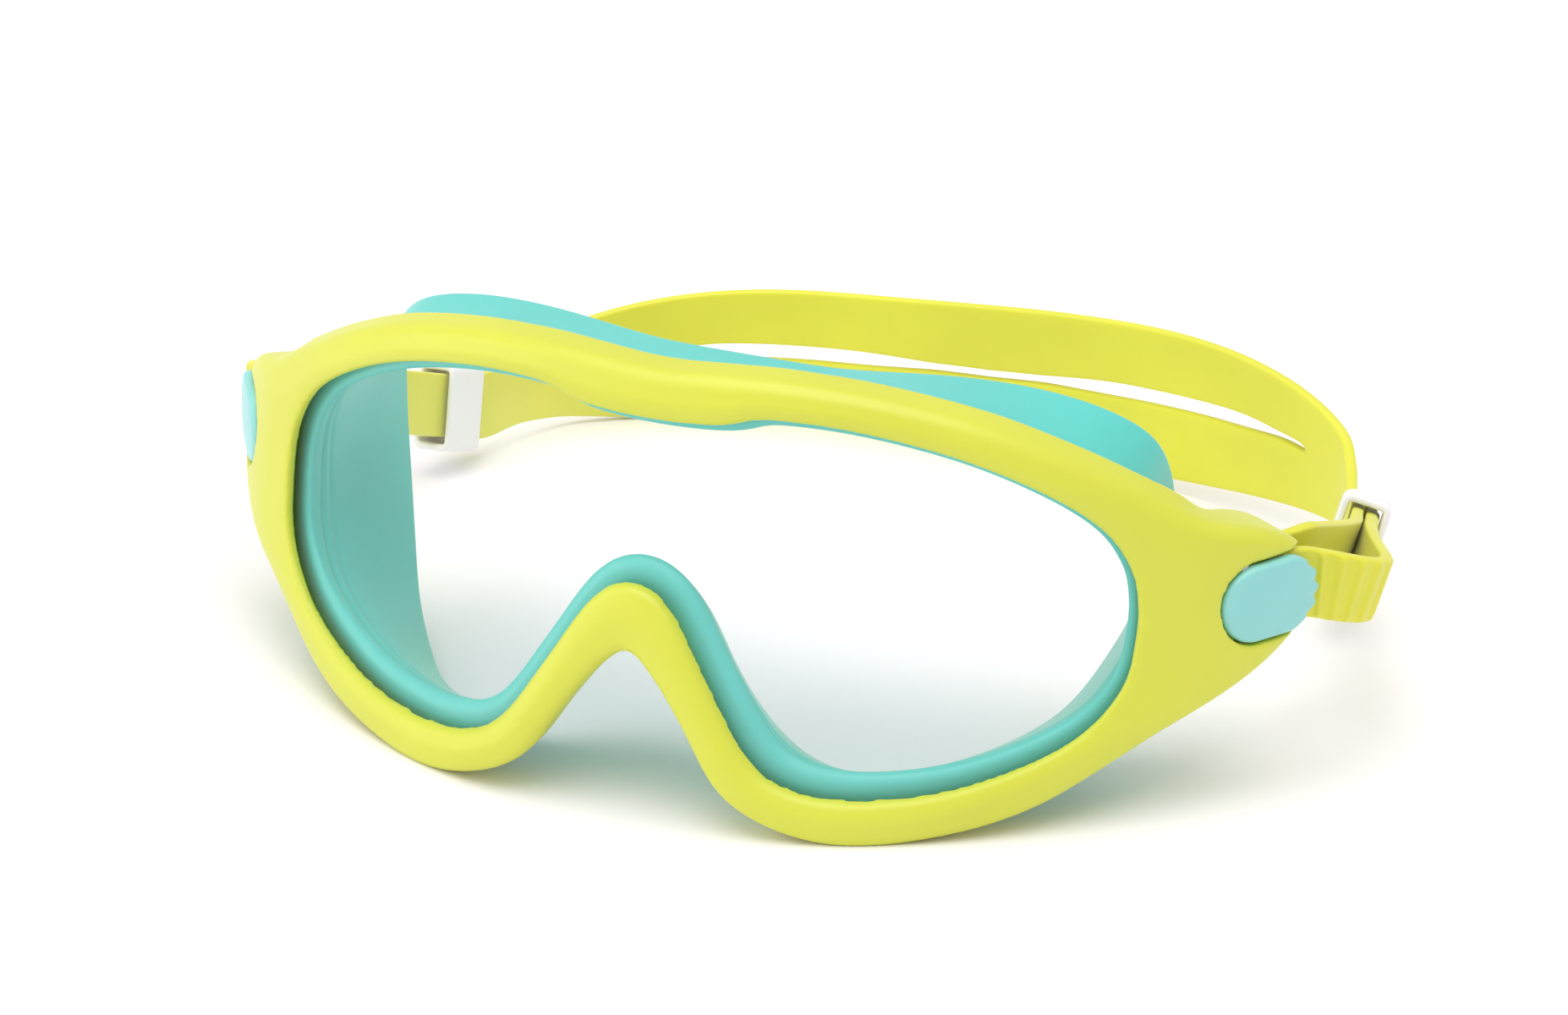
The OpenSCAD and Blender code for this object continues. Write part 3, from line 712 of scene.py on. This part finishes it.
def build_keeper(side, name):
    in_w = LAYER_STEP + STRAP_T + 2 * RIB_H + 0.5
    in_h = STRAP_H + 0.6
    inner = rounded_rect(in_w, in_h, 0.5)
    outer = rounded_rect(in_w + 2 * KEEPER_WALL, in_h + 2 * KEEPER_WALL, 1.5)
    # wall section: share of the way from inner to outer outline, and place along the strap
    wall_r, end_r = 0.38, 0.5
    section = []
    for centre, start in ((1 - wall_r, 0), (wall_r, 90)):
        for q in np.radians(np.arange(start, start + 91, 18)):
            section.append((centre + wall_r * math.cos(q), KEEPER_LEN / 2 - end_r + end_r * math.sin(q)))
    section += [(a, -b) for a, b in section[::-1]]
    rings = np.array([[(*(a * (1 - u) + b * u), along) for u, along in section]
                      for a, b in zip(inner, outer)])
    mid = on_line(KEEPER_Y, LAYER_STEP / 2)
    yaw = math.atan2(LINE_DIR[1], LINE_DIR[0]) - math.pi / 2
    pitch = math.atan(LOOP_SLOPE * LINE_DIR[1])
    turn = Matrix.Rotation(yaw, 3, "Z") @ Matrix.Rotation(math.pi / 2 + pitch, 3, "X")
    turn = turn @ Matrix.Rotation(-float(lean(side * mid[0], mid[1])), 3, "Z")
    height = float(lying(side * mid[0], mid[1], 0))
    world = rings.reshape(-1, 3) @ np.array(turn).T + [mid[0], mid[1], height]
    if side < 0:
        world = mirrored(world)
    n, m = rings.shape[:2]
    faces = ring_faces(n, m)
    obj = make("keeper_band_" + name, world, faces, white_keeper, "keeper_" + name)
    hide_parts("keeper_" + name)


def build_pin(side, name, node, at, radius, span):
    seg, ease, axis_r = 32, 0.25, 0.02
    section = [(axis_r, span[0]), (radius - ease, span[0]), (radius, span[0] + ease),
               (radius, span[1] - ease), (radius - ease, span[1]), (axis_r, span[1])]
    local = np.array([[(at[0] + r * math.cos(a), at[1] + r * math.sin(a), z) for r, z in section]
                      for a in 2 * math.pi * np.arange(seg) / seg])
    faces = ring_faces(seg, len(section))
    obj = make(name, at_temple(side, local.reshape(-1, 3)), faces, steel, "mask")
    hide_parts(node)


# ---------------------------------------------------------------- build
build_frame()
build_lens()
build_skirt()
build_retainer()
for side, name in SIDES:
    build_button(side, name)
    build_keeper(side, name)
build_strap()
for side, name in SIDES:
    build_pin(side, "pin_shaft_" + name, "button_pin_" + name, PIN_AT, PIN_R, PIN_Z)
    build_pin(side, "post_shaft_" + name, "strap_post_" + name, POST_AT, POST_R, POST_Z)

# ---------------------------------------------------------------- stage
floor_mat = moulded("floor", (0.95, 0.93, 0.955), 0.75, grain=400, bump=0.01, vary=0.005)
floor_size, floor_cells = 4.0, 8
floor_mesh = bpy.data.meshes.new("floor")
marks = [floor_size * (i / floor_cells - 0.5) for i in range(floor_cells + 1)]
corners = [(x, y, 0) for x in marks for y in marks]
row = floor_cells + 1
cells = [(i * row + j, (i + 1) * row + j, (i + 1) * row + j + 1, i * row + j + 1)
         for i in range(floor_cells) for j in range(floor_cells)]
floor_mesh.from_pydata(corners, [], cells)
floor = bpy.data.objects.new("floor", floor_mesh)
floor.data.materials.append(floor_mat)
bpy.context.scene.collection.objects.link(floor)


def sun_light(name, toward, strength, spread):
    """Soft sun shining from the direction toward, spread in degrees."""
    data = bpy.data.lights.new(name, "SUN")
    data.energy = strength
    data.angle = math.radians(spread)
    obj = bpy.data.objects.new(name, data)
    obj.rotation_euler = Vector(toward).to_track_quat("Z", "Y").to_euler()
    bpy.context.scene.collection.objects.link(obj)


sun_light("key_top", (0.05, -0.1, 1.0), 1.9, 62)
sun_light("fill_left", (-1.1, -0.62, 0.42), 0.95, 60)

world = bpy.data.worlds.new("studio")
world.use_nodes = True
sky = world.node_tree.nodes["Background"].inputs
sky["Color"].default_value = (1.0, 0.97, 1.0, 1)
sky["Strength"].default_value = 0.62
bpy.context.scene.world = world
bpy.context.scene.view_settings.view_transform = "Standard"

# long lens from the front, on the wearer's left and above
CAMERA_AT = Vector((0.36698, -0.88565, 0.44350))
CAMERA_VIEW = Vector((-0.3536, 0.8432, -0.4063))
CAMERA_RIGHT = Vector((0.91355, 0.40674, 0))
cam_data = bpy.data.cameras.new("camera")
cam_data.lens = 174.76
cam_data.sensor_width = 36
cam_data.clip_end = 20
camera = bpy.data.objects.new("camera", cam_data)
view = CAMERA_VIEW.normalized()
right = (CAMERA_RIGHT - view * CAMERA_RIGHT.dot(view)).normalized()
up = right.cross(view)
camera.matrix_world = Matrix.Translation(CAMERA_AT) @ Matrix((right, up, -view)).transposed().to_4x4()
bpy.context.scene.collection.objects.link(camera)
bpy.context.scene.camera = camera
